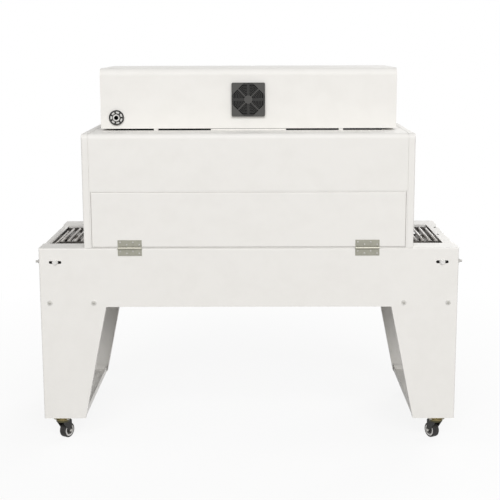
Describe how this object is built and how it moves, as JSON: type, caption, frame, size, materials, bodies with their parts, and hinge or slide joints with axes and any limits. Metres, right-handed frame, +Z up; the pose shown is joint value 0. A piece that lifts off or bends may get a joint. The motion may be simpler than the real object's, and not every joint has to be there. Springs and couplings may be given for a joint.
{
  "type": "heat shrink tunnel",
  "caption": "Wheeled heat shrink tunnel: sheet-metal base with a rod conveyor, hood with a hinged rear flap, control box with fan guard and cable inlet on top.",
  "frame": {"origin": "on the floor under the middle of the machine", "axes": "+X along the conveyor, to the right when looking at the rear side; -Y towards the rear side with the flap hinges; +Z up"},
  "size_m": [1.57, 0.678, 1.387],
  "materials": {
    "paint": "fine-textured semi-matt powder coat, warm off-white",
    "rod_steel": "bright drawn steel",
    "plain_steel": "plain zinc-plated steel",
    "hinge_steel": "satin",
    "black_plastic": "moulded, satin",
    "filter_foam": "open foam, dull",
    "button_plastic": "glossy",
    "yellow_zinc": "yellow zinc plating",
    "fork_paint": "black, semi-gloss",
    "tread_rubber": "dull",
    "hub_plastic": "moulded light grey"
  },
  "bodies": {
    "frame": {"rear_side_panel": "paint", "front_side_panel": "paint", "left_end_plate": "paint", "right_end_plate": "paint", "bottom_pan": "paint", "left_foot_plate": "paint", "right_foot_plate": "paint", "left_end_wall": "paint", "right_end_wall": "paint", "top_cover": "paint", "front_panel": "paint", "raised_plate": "paint", "spacer_rails": "paint", "control_box_base": "paint", "control_box_cover": "paint", "conveyor_chain": "rod_steel", "tunnel_lining": "rod_steel", "left_shaft": "plain_steel", "right_shaft": "plain_steel", "tension_screws": "plain_steel", "rear_chain_rail": "plain_steel", "front_chain_rail": "plain_steel", "hinge_base_leaves": "hinge_steel", "hinge_pins": "hinge_steel", "fan_guard": "black_plastic", "cable_gland": "black_plastic", "temperature_controller": "black_plastic", "speed_knob": "black_plastic", "fan_filter": "filter_foam", "push_buttons": "button_plastic", "caster_plates": "yellow_zinc"},
    "flap": {"rear_flap": "paint", "hinge_flap_leaves": "hinge_steel"},
    "rear_left_caster": {"rear_left_fork": "fork_paint"},
    "rear_left_wheel": {"rear_left_tread": "tread_rubber", "rear_left_hub": "hub_plastic"},
    "rear_right_caster": {"rear_right_fork": "fork_paint"},
    "rear_right_wheel": {"rear_right_tread": "tread_rubber", "rear_right_hub": "hub_plastic"},
    "front_left_caster": {"front_left_fork": "fork_paint"},
    "front_left_wheel": {"front_left_tread": "tread_rubber", "front_left_hub": "hub_plastic"},
    "front_right_caster": {"front_right_fork": "fork_paint"},
    "front_right_wheel": {"front_right_tread": "tread_rubber", "front_right_hub": "hub_plastic"}
  },
  "joints": [
    {"name": "flap_hinge", "type": "hinge", "parent": "frame", "child": "flap", "pos_m": [0, -0.33, 0.7415], "axis": [1, 0, 0], "range_deg": [0, 170]},
    {"name": "rear_left_swivel", "type": "hinge", "parent": "frame", "child": "rear_left_caster", "pos_m": [-0.707, -0.292, 0.0725], "axis": [0, 0, 1], "continuous": true},
    {"name": "rear_left_roll", "type": "hinge", "parent": "rear_left_caster", "child": "rear_left_wheel", "pos_m": [-0.69567, -0.27314, 0.0285], "axis": [-0.8572, 0.515, 0], "continuous": true},
    {"name": "rear_right_swivel", "type": "hinge", "parent": "frame", "child": "rear_right_caster", "pos_m": [0.707, -0.292, 0.0725], "axis": [0, 0, 1], "continuous": true},
    {"name": "rear_right_roll", "type": "hinge", "parent": "rear_right_caster", "child": "rear_right_wheel", "pos_m": [0.69567, -0.27314, 0.0285], "axis": [-0.8572, -0.515, 0], "continuous": true},
    {"name": "front_left_swivel", "type": "hinge", "parent": "frame", "child": "front_left_caster", "pos_m": [-0.707, 0.292, 0.0725], "axis": [0, 0, 1], "continuous": true},
    {"name": "front_left_roll", "type": "hinge", "parent": "front_left_caster", "child": "front_left_wheel", "pos_m": [-0.70318, 0.31367, 0.0285], "axis": [-0.9848, 0.1736, 0], "continuous": true},
    {"name": "front_right_swivel", "type": "hinge", "parent": "frame", "child": "front_right_caster", "pos_m": [0.707, 0.292, 0.0725], "axis": [0, 0, 1], "continuous": true},
    {"name": "front_right_roll", "type": "hinge", "parent": "front_right_caster", "child": "front_right_wheel", "pos_m": [0.68633, 0.29952, 0.0285], "axis": [-0.342, -0.9397, 0], "continuous": true}
  ]
}
